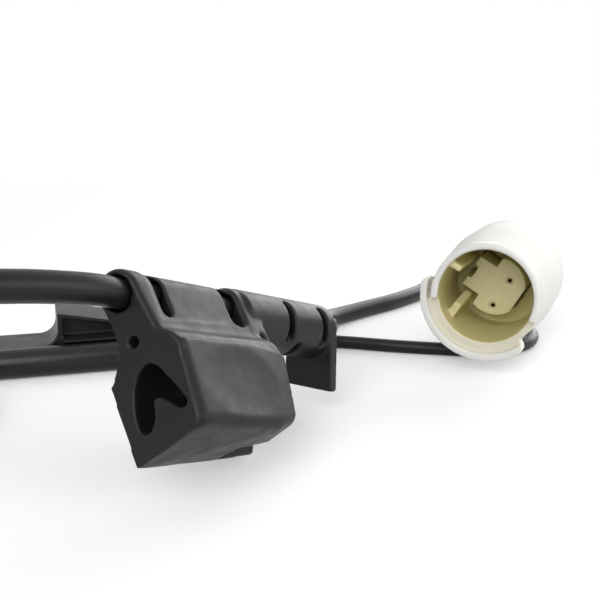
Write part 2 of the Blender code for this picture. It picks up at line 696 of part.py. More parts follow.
def build_holder():
    frame = empty("holder_frame", HOLDER_START, (HOLDER_ROLL, HOLDER_PITCH, HOLDER_HEADING))
    holder = add_object("holder_body", skin(block_rings()), black_plastic(), frame)
    join(holder, "neck", prism_x(holder_profile(neck_outline()), 0.0, HOLDER_BLOCK_LENGTH - NECK_SETBACK))
    tube_start = HOLDER_BLOCK_LENGTH - TUBE_INTO_BLOCK
    tube = [
        (tube_start, 0.0), (tube_start, TUBE_RADIUS - TUBE_EDGE), (tube_start + TUBE_EDGE, TUBE_RADIUS),
        (HOLDER_LENGTH - TUBE_CHAMFER, TUBE_RADIUS),
        (HOLDER_LENGTH - 0.3 * TUBE_CHAMFER, TUBE_RADIUS - 0.3 * TUBE_CHAMFER),
        (HOLDER_LENGTH, TUBE_RADIUS - TUBE_CHAMFER), (HOLDER_LENGTH, 0.0),
    ]
    join(holder, "tube", moved(lathe(tube, 40), Matrix.Translation((0.0, TUBE_SIDE, -TUBE_DROP))))
    tab_end = HOLDER_LENGTH - LAP
    join(holder, "end_tab", prism_x(drawn(END_TAB), tab_end - TAB_THICKNESS, tab_end))
    for name, leg in (("snap_left", SNAP_LEFT_LEG), ("snap_right", SNAP_RIGHT_LEG)):
        cut(holder, name, prism_x(drawn(leg), -CUT_MARGIN, HOLDER_BLOCK_LENGTH + CUT_MARGIN))
    notch = prism_x(drawn(FOOT_NOTCH), HOLDER_BLOCK_LENGTH - FOOT_NOTCH_LENGTH, HOLDER_BLOCK_LENGTH + CUT_MARGIN)
    cut(holder, "foot_notch", notch)
    cut_dish(holder)
    cut_neck_panel(holder)
    face_hole = cylinder_x(-CUT_MARGIN, FACE_HOLE_DEPTH, FACE_HOLE_RADIUS, 16)
    beside = Matrix.Translation((0.0, FACE_HOLE_SIDE, -FACE_HOLE_DROP))
    cut(holder, "face_hole", moved(face_hole, beside))
    cut(holder, "lead_bore", cylinder_x(-CUT_MARGIN, HOLDER_LENGTH + CUT_MARGIN, LEAD_DIAMETER / 2 + CLEAR, 32))
    outside = TUBE_RADIUS + CUT_MARGIN
    for number, share in enumerate(WINDOW_SHARES, 1):
        middle = share * HOLDER_LENGTH
        window = box((middle - WINDOW_WIDTH / 2, middle + WINDOW_WIDTH / 2), (-outside, -WINDOW_FLOOR),
                     (-WINDOW_DROP, WINDOW_RISE))
        cut(holder, f"window_{number}", window)


def build_sleeve():
    frame = empty("sleeve_frame", SLEEVE_START, (0.0, 0.0, SLEEVE_HEADING))
    wide = LEAD_DIAMETER / 2 + CLEAR
    slim = SLIM_DIAMETER / 2 + CLEAR
    edge = SLEEVE_EDGE
    socket = SLEEVE_SOCKET + CLEAR
    web = socket + SLEEVE_WEB
    profile = [
        (0.0, wide), (0.0, SLEEVE_RADIUS - edge), (edge, SLEEVE_RADIUS),
        (SLEEVE_LENGTH - SLEEVE_TAPER, SLEEVE_RADIUS), (SLEEVE_LENGTH, slim + 2 * edge), (SLEEVE_LENGTH, slim),
        (web, slim), (web, slim / 2), (socket, slim / 2), (socket, wide),
    ]
    add_object("junction_sleeve", lathe(profile, 32), black_rubber(), frame)


def build_clip():
    under = Vector((0.0, 0.0, SLEEVE_START.z))
    frame = empty("clip_frame", sleeve_point(CLIP_PLACE) - under, (0.0, 0.0, SLEEVE_HEADING))
    corner = (-CLIP_LEFT - CLIP_FILLET, CLIP_FOOT_HEIGHT + CLIP_FILLET)
    fillet = arc(corner, CLIP_FILLET, 0.0, -90.0, 8)
    outline = [(-CLIP_LEFT - CLIP_FOOT, 0.0), (CLIP_RIGHT, 0.0), (CLIP_RIGHT, CLIP_LOW_HEIGHT),
               (-CLIP_LEFT, CLIP_HEIGHT)]
    outline += fillet + [(-CLIP_LEFT - CLIP_FOOT, CLIP_FOOT_HEIGHT)]
    front = SLEEVE_RADIUS + CLEAR
    clip = add_object("guide_clip", prism_y(outline, front, CLIP_DEPTH), black_plastic(), frame)
    inset = CLIP_RECESS_MARGIN
    join(clip, "jaw", box((-CLIP_LEFT + inset, CLIP_RIGHT - inset), (CLIP_JAW, front + CUT_MARGIN),
                          (CLIP_JAW_LIFT, CLIP_JAW_TOP)))
    seat = cylinder_x(-CLIP_LEFT - CUT_MARGIN, CLIP_RIGHT + CUT_MARGIN, SLEEVE_RADIUS + CLEAR, 48)
    cut(clip, "sleeve_seat", moved(seat, Matrix.Translation((0.0, 0.0, SLEEVE_START.z))))
    floor = CLIP_JAW_TOP - LAP
    roof = CLIP_RECESS_ROOF
    slope = (CLIP_HEIGHT - CLIP_LOW_HEIGHT) / (CLIP_LEFT + CLIP_RIGHT)
    left = inset - CLIP_LEFT
    right = CLIP_RIGHT - inset
    recess = [(left, floor), (right, floor), (right, CLIP_LOW_HEIGHT + slope * inset - roof),
              (left, CLIP_HEIGHT - slope * inset - roof)]
    cut(clip, "front_recess", prism_y(recess, 0.0, front + CLIP_RECESS))


def build_coil():
    inner = COIL_MEAN_RADIUS - COIL_HALF_WIDTH
    outer = COIL_MEAN_RADIUS + COIL_HALF_WIDTH
    top = COIL_LIFT + COIL_HEIGHT
    section = [
        (COIL_LIFT, inner + COIL_CORNER), (COIL_LIFT, outer - COIL_CORNER), (COIL_LIFT + COIL_CORNER, outer),
        (top - COIL_CORNER, outer), (top, outer - COIL_CORNER), (top, inner + COIL_CORNER),
        (top - COIL_CORNER, inner), (COIL_LIFT + COIL_CORNER, inner),
    ]
    upright = Matrix.Rotation(-math.pi / 2, 4, "Y")
    ring = add_object("lead_coil", moved(lathe(section, 48), upright), lead_jacket())
    ring.location = COIL_CENTRE


def build_tie():
    frame = empty("tie_frame", COIL_CENTRE, (0.0, 0.0, TIE_ANGLE))
    low = COIL_MEAN_RADIUS - COIL_HALF_WIDTH - CLEAR
    high = COIL_MEAN_RADIUS + COIL_HALF_WIDTH + CLEAR
    top = COIL_LIFT + COIL_HEIGHT + CLEAR
    wall = TIE_THICKNESS
    outline = [
        (low, 0.0), (high, 0.0), (high + wall, wall), (high + wall, top),
        (high, top + wall), (low, top + wall), (low - wall, top), (low - wall, wall),
    ]
    half = TIE_WIDTH / 2
    tie = add_object("coil_tie", prism_y(outline, -half, half), black_rubber(), frame)
    hole = prism_y([(low, wall), (high, wall), (high, top), (low, top)], -half - CUT_MARGIN, half + CUT_MARGIN)
    cut(tie, "tie_hole", hole)


def build_leads():
    lead = [connector_point(LEAD_START), connector_point((LEAD_START + BOOT_END) / 2), connector_point(BOOT_END)]
    lead += in_metres(ROUTE_TO_HOLDER)
    lead += [holder_point(HOLDER_LENGTH * (1 - i / LEAD_HOLDER_STEPS)) for i in range(LEAD_HOLDER_STEPS + 1)]
    lead += [holder_point(-LEAD_OUT)]
    lead += in_metres(ROUTE_TO_COIL)
    cord("lead", lead, LEAD_DIAMETER, LEAD_STEP, lead_jacket())
    tail = in_metres(ROUTE_FROM_COIL) + [sleeve_point(SLEEVE_SOCKET * i / 2) for i in range(3)]
    cord("lead_after_coil", tail, LEAD_DIAMETER, LEAD_STEP, lead_jacket())
    slim_start = SLEEVE_SOCKET + SLEEVE_WEB + 2 * CLEAR
    slim = [sleeve_point(slim_start), sleeve_point((slim_start + SLEEVE_LENGTH) / 2), sleeve_point(SLEEVE_LENGTH)]
    slim += in_metres(ROUTE_SLIM)
    snout_tip = -HEAD_LENGTH / 2 - SNOUT_LENGTH
    slim += [Vector((0.0, snout_tip, SNOUT_HEIGHT)), Vector((0.0, snout_tip + SNOUT_SOCKET - CLEAR, SNOUT_HEIGHT))]
    cord("slim_lead", slim, SLIM_DIAMETER, SLIM_STEP, lead_jacket())


def build_head_body():
    half = HEAD_WIDTH / 2
    back = -HEAD_LENGTH / 2
    front = HEAD_LENGTH / 2
    edge = HEAD_EDGE
    outline = [
        (-half + edge, 0.0), (half - edge, 0.0), (half, edge), (half, HEAD_HEIGHT - edge),
        (half - edge, HEAD_HEIGHT), (-half + edge, HEAD_HEIGHT), (-half, HEAD_HEIGHT - edge), (-half, edge),
    ]
    head = add_object("head_body", prism_y(outline, back, front), black_plastic())
    along_y = Matrix.Translation((0.0, 0.0, SNOUT_HEIGHT)) @ Matrix.Rotation(math.pi / 2, 4, "Z")
    tip = back - SNOUT_LENGTH
    root = back + CUT_MARGIN
    snout = lathe([(tip, 0.0), (tip, SNOUT_TIP_RADIUS), (root, SNOUT_ROOT_RADIUS), (root, 0.0)], 32)
    join(head, "snout", moved(snout, along_y))
    bore = cylinder_x(tip - CUT_MARGIN, tip + SNOUT_SOCKET, SLIM_DIAMETER / 2 + CLEAR, 24)
    cut(head, "snout_bore", moved(bore, along_y))
    for name, side in (("groove_left", -1), ("groove_right", 1)):
        x = sorted((side * (half - HEAD_GROOVE_DEPTH), side * (half + CUT_MARGIN)))
        cut(head, name, box(x, (back - CUT_MARGIN, front - HEAD_GROOVE_END), (HEAD_GROOVE_LOW, HEAD_GROOVE_HIGH)))
    grow = CLEAR
    socket_half = TENON_WIDTH / 2 + grow
    middle = (TONGUE_LOW + TONGUE_HIGH) / 2
    z = (middle - TENON_HEIGHT / 2 - grow, middle + TENON_HEIGHT / 2 + grow)
    cut(head, "tenon_socket", box((-socket_half, socket_half), (front - TENON_LENGTH - grow, front + CUT_MARGIN), z))


def build_tongue():
    start = HEAD_LENGTH / 2 + CLEAR
    end = start + TONGUE_LENGTH
    wide = TONGUE_WIDTH / 2
    narrow = TONGUE_TIP_WIDTH / 2
    bevel = TONGUE_BEVEL
    plan = [(-wide, start), (wide, start), (wide, start + TONGUE_SHOULDER), (narrow, end - bevel), (narrow - bevel, end),
            (bevel - narrow, end), (-narrow, end - bevel), (-wide, start + TONGUE_SHOULDER)]
    low = [(x, y, TONGUE_LOW) for x, y in plan]
    high = [(x, y, TONGUE_HIGH) for x, y in plan]
    tongue = add_object("wear_tongue", skin([low, high]), material("wear_tongue", (0.12, 0.075, 0.045), 0.6))
    middle = (TONGUE_LOW + TONGUE_HIGH) / 2
    z = (middle - TENON_HEIGHT / 2, middle + TENON_HEIGHT / 2)
    tenon = box((-TENON_WIDTH / 2, TENON_WIDTH / 2), (HEAD_LENGTH / 2 - TENON_LENGTH, start + CUT_MARGIN), z)
    join(tongue, "tenon", tenon)
    half = LOOP_WIDTH / 2 + LOOP_WIRE / 2 + CLEAR
    depth = TONGUE_HIGH - LOOP_WIRE - CLEAR
    loop_end = loop_start() + LOOP_LENGTH + LOOP_WIDTH / 2 + LOOP_WIRE / 2
    channel = box((-half, half), (loop_start() - CLEAR, loop_end + CLEAR), (depth, TONGUE_HIGH + CUT_MARGIN))
    cut(tongue, "loop_channel", channel)


def loop_start():
    return HEAD_LENGTH / 2 + CLEAR + LOOP_INSET


def build_loop():
    height = TONGUE_HIGH - LOOP_WIRE / 2
    start = loop_start()
    bend_start = start + LOOP_LENGTH
    half = LOOP_WIDTH / 2
    bend = [(x, y, height) for x, y in arc((0.0, bend_start), half, 180.0, 0.0, 10)]
    points = [(-half, start, height), (-half, (start + bend_start) / 2, height)] + bend
    points += [(half, (start + bend_start) / 2, height), (half, start, height)]
    copper = material("loop_copper", (0.8, 0.4, 0.2), 0.3, 1.0)
    cord("sensing_loop", [Vector(point) for point in points], LOOP_WIRE, 1.0 * MM, copper)


def build_spring():
    inner = HEAD_WIDTH / 2 + CLEAR
    outer = inner + SPRING_THICKNESS
    top = HEAD_HEIGHT + CLEAR
    foot = SPRING_FOOT
    flare = SPRING_FLARE
    outline = [
        (-outer - flare, foot), (-inner - flare, foot - SPRING_TIP), (-inner, foot + flare), (-inner, top), (inner, top),
        (inner, foot + flare), (inner + flare, foot - SPRING_TIP), (outer + flare, foot), (outer, foot + flare + SPRING_TIP),
        (outer, top + SPRING_THICKNESS / 2), (outer - SPRING_THICKNESS / 2, top + SPRING_THICKNESS),
        (-outer + SPRING_THICKNESS / 2, top + SPRING_THICKNESS), (-outer, top + SPRING_THICKNESS / 2),
        (-outer, foot + flare + SPRING_TIP),
    ]
    steel = material("spring_steel", (0.5, 0.5, 0.52), 0.3, 1.0)
    add_object("head_spring_clip", prism_y(outline, -SPRING_WIDTH / 2, SPRING_WIDTH / 2), steel)


def build_head():
    build_head_body()
    build_tongue()
    build_loop()
    build_spring()


clear_scene()
build_connector()
build_holder()
build_sleeve()
build_clip()
build_coil()
build_tie()
build_leads()
build_head()
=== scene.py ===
"""Dresses the brake pad wear sensor: camera, leads, moulded pieces, materials and light. Metres, +Z up."""

import math

import bmesh
import bpy
from mathutils import Euler, Matrix, Vector


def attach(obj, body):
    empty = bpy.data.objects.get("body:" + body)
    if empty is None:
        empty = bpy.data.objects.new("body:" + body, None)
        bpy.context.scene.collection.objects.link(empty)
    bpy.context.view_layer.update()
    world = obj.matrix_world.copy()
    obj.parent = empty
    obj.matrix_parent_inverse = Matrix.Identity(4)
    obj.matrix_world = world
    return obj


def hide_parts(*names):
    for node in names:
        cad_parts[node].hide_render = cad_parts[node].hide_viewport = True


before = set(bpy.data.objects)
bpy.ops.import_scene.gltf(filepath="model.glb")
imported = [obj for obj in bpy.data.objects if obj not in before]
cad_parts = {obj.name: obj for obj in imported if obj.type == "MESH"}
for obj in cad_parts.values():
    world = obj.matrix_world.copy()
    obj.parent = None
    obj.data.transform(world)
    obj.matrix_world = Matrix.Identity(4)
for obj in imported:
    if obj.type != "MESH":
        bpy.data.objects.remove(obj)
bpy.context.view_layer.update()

MM = 0.001
CLEAR = 0.3 * MM  # gap between touching solids

# Camera: its place in metres, its pitch below level in degrees, its lens and sensor in millimetres
CAMERA_PLACE = (-60.0 * MM, -250.0 * MM, 45.5 * MM)
CAMERA_PITCH = 12.0
CAMERA_LENS = 53.34
CAMERA_SENSOR = 36.0
CAMERA_NEAR = 0.01
CAMERA_FAR = 20.0


def placed(name, data):
    """A new object in the scene."""
    made = bpy.data.objects.new(name, data)
    bpy.context.scene.collection.objects.link(made)
    return made


def dressed(piece, slot, *nodes):
    """Says what a piece rides on and which solids it replaces. The slot is not used."""
    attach(piece, "root")
    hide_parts(*nodes)
    return piece


camera_data = bpy.data.cameras.new("camera")
camera_data.lens = CAMERA_LENS
camera_data.sensor_width = CAMERA_SENSOR
camera_data.clip_start = CAMERA_NEAR
camera_data.clip_end = CAMERA_FAR
camera = placed("camera", camera_data)
camera.location = CAMERA_PLACE
camera.rotation_euler = (math.radians(90.0 - CAMERA_PITCH), 0.0, 0.0)
bpy.context.scene.camera = camera
bpy.context.scene.view_settings.view_transform = "Standard"

# Sizes and places shared with the solids
LEAD_DIAMETER = 3.7 * MM
SLIM_DIAMETER = 2.5 * MM

MOUTH = Vector((-28.3, -100.3, 14.1)) * MM
CONNECTOR_TURN = Euler((math.radians(-59.2), 0.0, math.radians(68.0)))
HOLDER_START = Vector((-80.4, -148.3, 24.5)) * MM
HOLDER_TURN = Euler((math.radians(-38.6), math.radians(16.1), math.radians(56.1)))
SLEEVE_START = Vector((-116.0, -103.3, 2.6)) * MM
SLEEVE_TURN = Euler((0.0, 0.0, math.radians(17.2)))
COIL_CENTRE = Vector((-131.8, -131.06, 0.0)) * MM

CONNECTOR_FRAME = Matrix.Translation(MOUTH) @ CONNECTOR_TURN.to_matrix().to_4x4()
HOLDER_FRAME = Matrix.Translation(HOLDER_START) @ HOLDER_TURN.to_matrix().to_4x4()
SLEEVE_FRAME = Matrix.Translation(SLEEVE_START) @ SLEEVE_TURN.to_matrix().to_4x4()

BOOT_START = 35.6 * MM
BOOT_LENGTH = 13.0 * MM
LEAD_START = BOOT_START + 2 * CLEAR
LEAD_IN_BOOT = 6.0 * MM
SLEEVE_LENGTH = 36.0 * MM
SLEEVE_SOCKET = 14.0 * MM
SLEEVE_WEB = 1.2 * MM

# Materials: a broad tone, patches of roughness, fine grain and shallow waves
TONE_STOPS = (0.3, 0.7)
WAVE_SCALE = 0.9
WAVE_STRENGTH = 0.25
WAVE_HEIGHT = 0.00012
PATCH_SCALE = 3.1
GRAIN_STRENGTH = 0.4
NYLON_DEPTHS = (1.0, 0.85, 0.5)


class Nodes:
    """Short calls for building a material's nodes."""

    def __init__(self, name):
        self.material = bpy.data.materials.new(name)
        self.material.use_nodes = True
        self.tree = self.material.node_tree
        self.shader = self.tree.nodes["Principled BSDF"]
        self.place = self.tree.nodes.new("ShaderNodeTexCoord").outputs["Object"]

    def add(self, kind, **values):
        node = self.tree.nodes.new(kind)
        for key, value in values.items():
            setattr(node, key, value)
        return node

    def link(self, output, target):
        self.tree.links.new(output, target)

    def noise(self, scale, detail=3.0, roughness=0.55, stretch=None):
        node = self.add("ShaderNodeTexNoise")
        node.inputs["Scale"].default_value = scale
        node.inputs["Detail"].default_value = detail
        node.inputs["Roughness"].default_value = roughness
        place = self.place
        if stretch:
            mapping = self.add("ShaderNodeMapping")
            mapping.inputs["Scale"].default_value = stretch
            self.link(place, mapping.inputs["Vector"])
            place = mapping.outputs["Vector"]
        self.link(place, node.inputs["Vector"])
        return node.outputs["Fac"]

    def spread(self, source, low, high, start=0.3, end=0.7):
        node = self.add("ShaderNodeMapRange")
        self.link(source, node.inputs["Value"])
        for key, value in (("From Min", start), ("From Max", end), ("To Min", low), ("To Max", high)):
            node.inputs[key].default_value = value
        return node.outputs["Result"]

    def ramp(self, source, stops):
        node = self.add("ShaderNodeValToRGB")
        self.link(source, node.inputs["Fac"])
        elements = node.color_ramp.elements
        while len(elements) < len(stops):
            elements.new(0.5)
        for element, (place, color) in zip(elements, stops):
            element.position = place
            element.color = (*color, 1.0)
        return node.outputs["Color"]

    def bump(self, source, strength, distance, previous=None):
        node = self.add("ShaderNodeBump")
        node.inputs["Strength"].default_value = strength
        node.inputs["Distance"].default_value = distance
        self.link(source, node.inputs["Height"])
        if previous:
            self.link(previous, node.inputs["Normal"])
        return node.outputs["Normal"]

    def set(self, **values):
        for key, value in values.items():
            self.shader.inputs[key.replace("_", " ")].default_value = value

    def finish(self, color, roughness, normal):
        self.link(color, self.shader.inputs["Base Color"])
        self.link(roughness, self.shader.inputs["Roughness"])
        self.link(normal, self.shader.inputs["Normal"])
        return self.material


def surface(name, tones, rough, grain, wave=180.0, stretch=None, **values):
    """A moulded or drawn surface, from two tones, two roughnesses, and its grain's scale and height."""
    made = Nodes(name)
    color = made.ramp(made.noise(wave, 4.0, 0.6, stretch), list(zip(TONE_STOPS, tones)))
    roughness = made.spread(made.noise(wave * PATCH_SCALE, 5.0, 0.6, stretch), *rough)
    waves = made.bump(made.noise(wave * WAVE_SCALE, 2.0, 0.5), WAVE_STRENGTH, WAVE_HEIGHT)
    normal = made.bump(made.noise(grain[0], 3.0, 0.6, stretch), GRAIN_STRENGTH, grain[1], waves)
    made.set(**values)
    return made.finish(color, roughness, normal)


def scatter(weight, reach):
    """How light spreads under the surface of pale nylon."""
    return {"Subsurface_Weight": weight, "Subsurface_Radius": NYLON_DEPTHS, "Subsurface_Scale": reach}


black_plastic = surface("black_plastic_look", ((0.009, 0.009, 0.0105), (0.013, 0.013, 0.015)),
                        (0.36, 0.5), (3200.0, 0.00002), Specular_IOR_Level=0.24)
black_rubber = surface("black_rubber_look", ((0.010, 0.010, 0.0115), (0.015, 0.015, 0.017)),
                       (0.28, 0.38), (2600.0, 0.00001), Specular_IOR_Level=0.3)
lead_jacket = surface("lead_jacket_look", ((0.009, 0.009, 0.011), (0.014, 0.014, 0.017)),
                      (0.32, 0.42), (2400.0, 0.000004), 240.0, Specular_IOR_Level=0.22)
nylon = surface("natural_nylon_look", ((0.86, 0.85, 0.80), (0.90, 0.89, 0.85)),
                (0.5, 0.6), (2800.0, 0.00001), Specular_IOR_Level=0.06, **scatter(0.35, 0.0018))
# Darker, yellower copy of the nylon for the mouth's ledge: painted shade.
ledge_painted_shade = surface("nylon_ledge_painted_shade_look", ((0.72, 0.69, 0.55), (0.78, 0.75, 0.61)),
                      (0.34, 0.46), (2800.0, 0.00001), **scatter(0.35, 0.0018))
# Darker, yellower copy of the nylon for the faces inside the socket: painted shade of the deep bore.
socket_painted_shade = surface("nylon_socket_painted_shade_look", ((0.66, 0.60, 0.30), (0.72, 0.66, 0.35)),
                      (0.36, 0.5), (2800.0, 0.00001), **scatter(0.35, 0.0015))
# Carrier deep in the socket, a darker, yellower copy of the nylon: painted shade.
carrier_painted_shade = surface("carrier_painted_shade_look", ((0.64, 0.59, 0.34), (0.70, 0.65, 0.40)),
                       (0.36, 0.5), (2600.0, 0.00001), **scatter(0.3, 0.0012))
copper_alloy = surface("terminal_look", ((0.55, 0.27, 0.13), (0.68, 0.36, 0.19)),
                       (0.25, 0.42), (3000.0, 0.000008), Metallic=1.0)
loop_copper = surface("loop_look", ((0.72, 0.36, 0.19), (0.82, 0.44, 0.26)),
                      (0.2, 0.34), (3000.0, 0.000008), Metallic=1.0)
spring_steel = surface("spring_look", ((0.30, 0.30, 0.31), (0.38, 0.38, 0.39)),
                       (0.28, 0.42), (5200.0, 0.00001), 160.0, (1.0, 9.0, 1.0), Metallic=1.0)
seal_rubber = surface("seal_look", ((0.36, 0.15, 0.04), (0.47, 0.21, 0.06)), (0.5, 0.65), (2400.0, 0.00002))
core_look = surface("core_look", ((0.30, 0.02, 0.018), (0.38, 0.03, 0.026)), (0.3, 0.42), (2400.0, 0.000012))
tongue_look = surface("tongue_look", ((0.085, 0.05, 0.028), (0.15, 0.09, 0.055)),
                      (0.5, 0.68), (2200.0, 0.00004))

# Leads: routes in millimetres, made as one curve each


def catmull_rom(points, step):
    """A smooth curve through the points, read about every step."""
    ends = [2 * points[0] - points[1]] + points + [2 * points[-1] - points[-2]]
    found = []
    for p0, p1, p2, p3 in zip(ends, ends[1:], ends[2:], ends[3:]):
        count = max(1, round((p2 - p1).length / step))
        for i in range(count):
            t = i / count
            found.append(
                0.5 * (2 * p1 + (p2 - p0) * t + (2 * p0 - 5 * p1 + 4 * p2 - p3) * t**2
                       + (3 * p1 - p0 - 3 * p2 + p3) * t**3)
            )
    found.append(points[-1].copy())
    return found


def in_metres(points):
    return [Vector(point) * MM for point in points]


def cord_piece(name, points, diameter, look, sides=6):
    curve = bpy.data.curves.new(name, "CURVE")
    curve.dimensions = "3D"
    curve.bevel_depth = diameter / 2
    curve.bevel_resolution = sides
    curve.use_fill_caps = True
    spline = curve.splines.new("POLY")
    spline.points.add(len(points) - 1)
    for point, place in zip(spline.points, points):
        point.co = (*place, 1.0)
    curve.materials.append(look)
    return placed(name, curve)


def along(start_frame, distance):
    """The point at that distance along a frame's X."""
    return start_frame @ Vector((distance, 0.0, 0.0))


ROUTE_TO_HOLDER = [
    (-7.4, -48.5, 13.6), (-5.5, -41.0, 12.2), (-6.7, -32.5, 9.6), (-11.5, -26.0, 6.6),
    (-18.5, -23.3, 4.1), (-24.6, -26.3, 2.6), (-28.7, -32.0, 1.95), (-32.0, -37.7, 1.85),
    (-38.5, -46.7, 1.85), (-44.9, -53.8, 1.85), (-52.4, -63.1, 2.1), (-55.5, -69.4, 3.0),
    (-57.0, -77.0, 4.3), (-57.2, -85.0, 5.6), (-56.7, -93.0, 7.2), (-55.9, -100.5, 9.0),
    (-55.6, -107.2, 10.7),
]
ROUTE_TO_COIL = [
    (-90.3, -159.4, 27.7), (-98.5, -165.4, 28.4), (-107.5, -169.3, 27.0), (-117.5, -171.0, 23.0),
    (-128.0, -170.5, 17.4), (-137.6, -167.3, 11.8), (-145.6, -161.8, 7.4), (-151.2, -155.2, 4.5),
    (-154.3, -149.2, 3.1), (-155.3, -144.0, 2.75), (-155.5, -137.6, 2.75),
]
ROUTE_FROM_COIL = [
    (-133.96, -108.86, 6.3), (-129.66, -107.53, 6.5), (-125.84, -106.35, 6.0), (-122.5, -105.31, 4.8),
    (-119.15, -104.28, 3.4),
]
ROUTE_SLIM = [
    (-76.0, -91.0, 2.2), (-70.5, -87.4, 1.5), (-65.5, -83.2, 1.25), (-59.5, -80.6, 1.25),
    (-52.5, -81.2, 1.25), (-42.3, -84.3, 1.25), (-35.2, -86.0, 1.25), (-27.0, -87.4, 1.25),
    (-20.3, -86.0, 1.25), (-15.6, -82.0, 1.25), (-13.1, -75.8, 1.25), (-12.9, -69.0, 1.25),
    (-12.8, -61.0, 1.25), (-11.8, -52.5, 1.25), (-8.7, -44.5, 1.25), (-4.7, -37.0, 1.25),
    (-1.4, -29.5, 1.4), (0.0, -22.5, 2.8), (0.0, -17.0, 4.0), (0.0, -10.3, 4.0),
]
HOLDER_STRAIGHT = [43.0, 35.8, 28.7, 21.5, 14.3, 7.2, 0.0, -6.0]

# Coil: its outer turn, the heights of its two layers, and the degrees in which a turn shifts to the next ring
COIL_RADIUS = 23.7 * MM
COIL_LOW = 2.75 * MM
COIL_RISE = 3.2 * MM
COIL_STEPS = 36
COIL_SWEEP = 1512.8
SHIFT_FROM = 290.0
SHIFT_TO = 355.0
CLIMB_ANGLE = 120
CLIMB_RATE = 1.6
LEAD_STEP = 1.5 * MM
SLIM_STEP = 1.2 * MM


def shift(turned):
    """How far through its shift to the next ring a turn is, eased, from the degrees into that turn."""
    f = min(1.0, max(0.0, (turned - SHIFT_FROM) / (SHIFT_TO - SHIFT_FROM)))
    return f * f * (3 - 2 * f)


def coil_section(turned):
    """Radius and height of the lead after that many degrees of coil: three turns below, the rest on top."""
    turn = int(turned // 360)
    f = shift(turned - 360 * turn)
    if turn < 2:
        return COIL_RADIUS - (turn + f) * LEAD_DIAMETER, COIL_LOW
    if turn == 2:
        below = COIL_RADIUS - (1 + f) * LEAD_DIAMETER
        angle = math.radians(180 - CLIMB_ANGLE * f)
        return below + LEAD_DIAMETER * math.cos(angle), COIL_LOW + LEAD_DIAMETER * math.sin(angle)
    climb = 4 * f * (1 - f)
    lift = (LEAD_DIAMETER - COIL_RISE) * min(1.0, CLIMB_RATE * climb)
    radius = COIL_RADIUS - 1.5 * LEAD_DIAMETER + (turn - 3 + f) * LEAD_DIAMETER
    return radius, COIL_LOW + COIL_RISE + lift


def coil_points():
    found = []
    count = round(COIL_SWEEP / 360 * COIL_STEPS)
    for i in range(count + 1):
        turned = COIL_SWEEP * i / count
        radius, height = coil_section(turned)
        angle = math.radians(180 - turned)
        place = COIL_CENTRE + Vector((radius * math.cos(angle), radius * math.sin(angle), height))
        found.append(place)
    return found


lead_start = [along(CONNECTOR_FRAME, LEAD_START + x) for x in (0.0, LEAD_IN_BOOT)]
lead_start.append(along(CONNECTOR_FRAME, BOOT_START + BOOT_LENGTH))
lead_ends = [along(SLEEVE_FRAME, x) for x in (0.0, SLEEVE_SOCKET / 2, SLEEVE_SOCKET)]
lead_route = lead_start + in_metres(ROUTE_TO_HOLDER) + [along(HOLDER_FRAME, t * MM) for t in HOLDER_STRAIGHT]
lead_route += in_metres(ROUTE_TO_COIL) + coil_points() + in_metres(ROUTE_FROM_COIL) + lead_ends
lead_path = catmull_rom(lead_route, LEAD_STEP)
lead = cord_piece("jacketed_lead", lead_path, LEAD_DIAMETER, lead_jacket)
dressed(lead, "lead_jacket", "lead", "lead_coil", "lead_after_coil")

slim_start = SLEEVE_SOCKET + SLEEVE_WEB + 2 * CLEAR
slim_stops = (slim_start, (slim_start + SLEEVE_LENGTH) / 2, SLEEVE_LENGTH)
slim_route = [along(SLEEVE_FRAME, x) for x in slim_stops] + in_metres(ROUTE_SLIM)
slim_path = catmull_rom(slim_route, SLIM_STEP)
slim = cord_piece("slim_cable", slim_path, SLIM_DIAMETER, lead_jacket)
dressed(slim, "lead_jacket", "slim_lead")

# Moulded pieces: closed shapes in millimetres, joined, cut and softened


def skin(rings):
    """A closed body through rings of points that all have the same count."""
    shape = bmesh.new()
    loops = [[shape.verts.new(Vector(point) * MM) for point in ring] for ring in rings]
    count = len(loops[0])
    for first, second in zip(loops, loops[1:]):
        for i in range(count):
            j = (i + 1) % count
            shape.faces.new((first[i], first[j], second[j], second[i]))
    shape.faces.new(loops[0])
    shape.faces.new(loops[-1])
    return shape


def prism_x(outline, start, end):
    """A prism along X with an outline of (y, z) points, in millimetres."""
    return skin([[(start, y, z) for y, z in outline], [(end, y, z) for y, z in outline]])


def prism_y(outline, start, end):
    """A prism along Y with an outline of (x, z) points, in millimetres."""
    return skin([[(x, start, z) for x, z in outline], [(x, end, z) for x, z in outline]])


def box(x, y, z):
    return prism_x([(y[0], z[0]), (y[1], z[0]), (y[1], z[1]), (y[0], z[1])], x[0], x[1])


def lathe(profile, segments=96):
    """A body turned about X from a closed loop of (x, radius) points, in millimetres."""
    shape = bmesh.new()
    rings = []
    for x, radius in profile:
        if radius == 0.0:
            rings.append([shape.verts.new(Vector((x, 0.0, 0.0)) * MM)] * segments)
            continue
        turns = [2 * math.pi * i / segments for i in range(segments)]
        places = [Vector((x, radius * math.cos(a), radius * math.sin(a))) * MM for a in turns]
        rings.append([shape.verts.new(place) for place in places])
    for first, second in zip(rings, rings[1:] + rings[:1]):
        for i in range(segments):
            j = (i + 1) % segments
            corners = list(dict.fromkeys((first[i], first[j], second[j], second[i])))
            if len(corners) > 2:
                shape.faces.new(corners)
    return shape


def cylinder_x(start, end, radius, segments=48):
    return lathe([(start, 0.0), (start, radius), (end, radius), (end, 0.0)], segments)


def arc(centre, radius, angle_from, angle_to, steps):
    """Points on an arc about a centre, angles in degrees."""
    turns = [math.radians(angle_from + (angle_to - angle_from) * i / steps) for i in range(steps + 1)]
    return [(centre[0] + radius * math.cos(a), centre[1] + radius * math.sin(a)) for a in turns]


